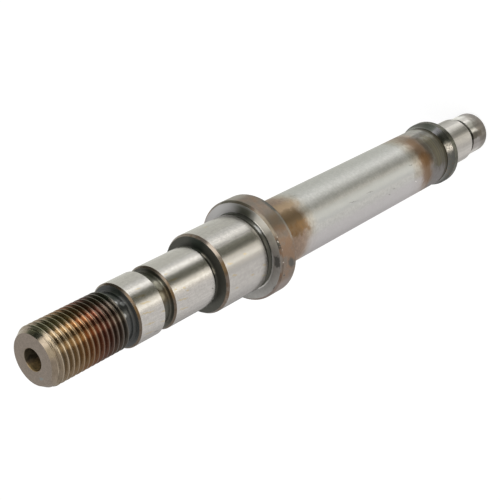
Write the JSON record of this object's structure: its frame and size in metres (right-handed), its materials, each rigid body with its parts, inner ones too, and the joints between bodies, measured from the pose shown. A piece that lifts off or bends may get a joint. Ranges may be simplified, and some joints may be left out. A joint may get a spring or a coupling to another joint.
{
  "type": "stepped shaft",
  "caption": "Turned and ground steel spindle shaft with bearing seats, a wide collar, a narrow rim and a threaded end.",
  "frame": {"origin": "centre of the flat end of the tail pin, on which the shaft stands", "axes": "+Z along the shaft's axis, from the tail pin up to the threaded end"},
  "size_m": [0.0368, 0.0368, 0.2521],
  "materials": {
    "steel": "ground and turned steel with heat tints, oxide in the reliefs and small stains"
  },
  "bodies": {
    "root": {"shaft": "steel"}
  },
  "joints": []
}
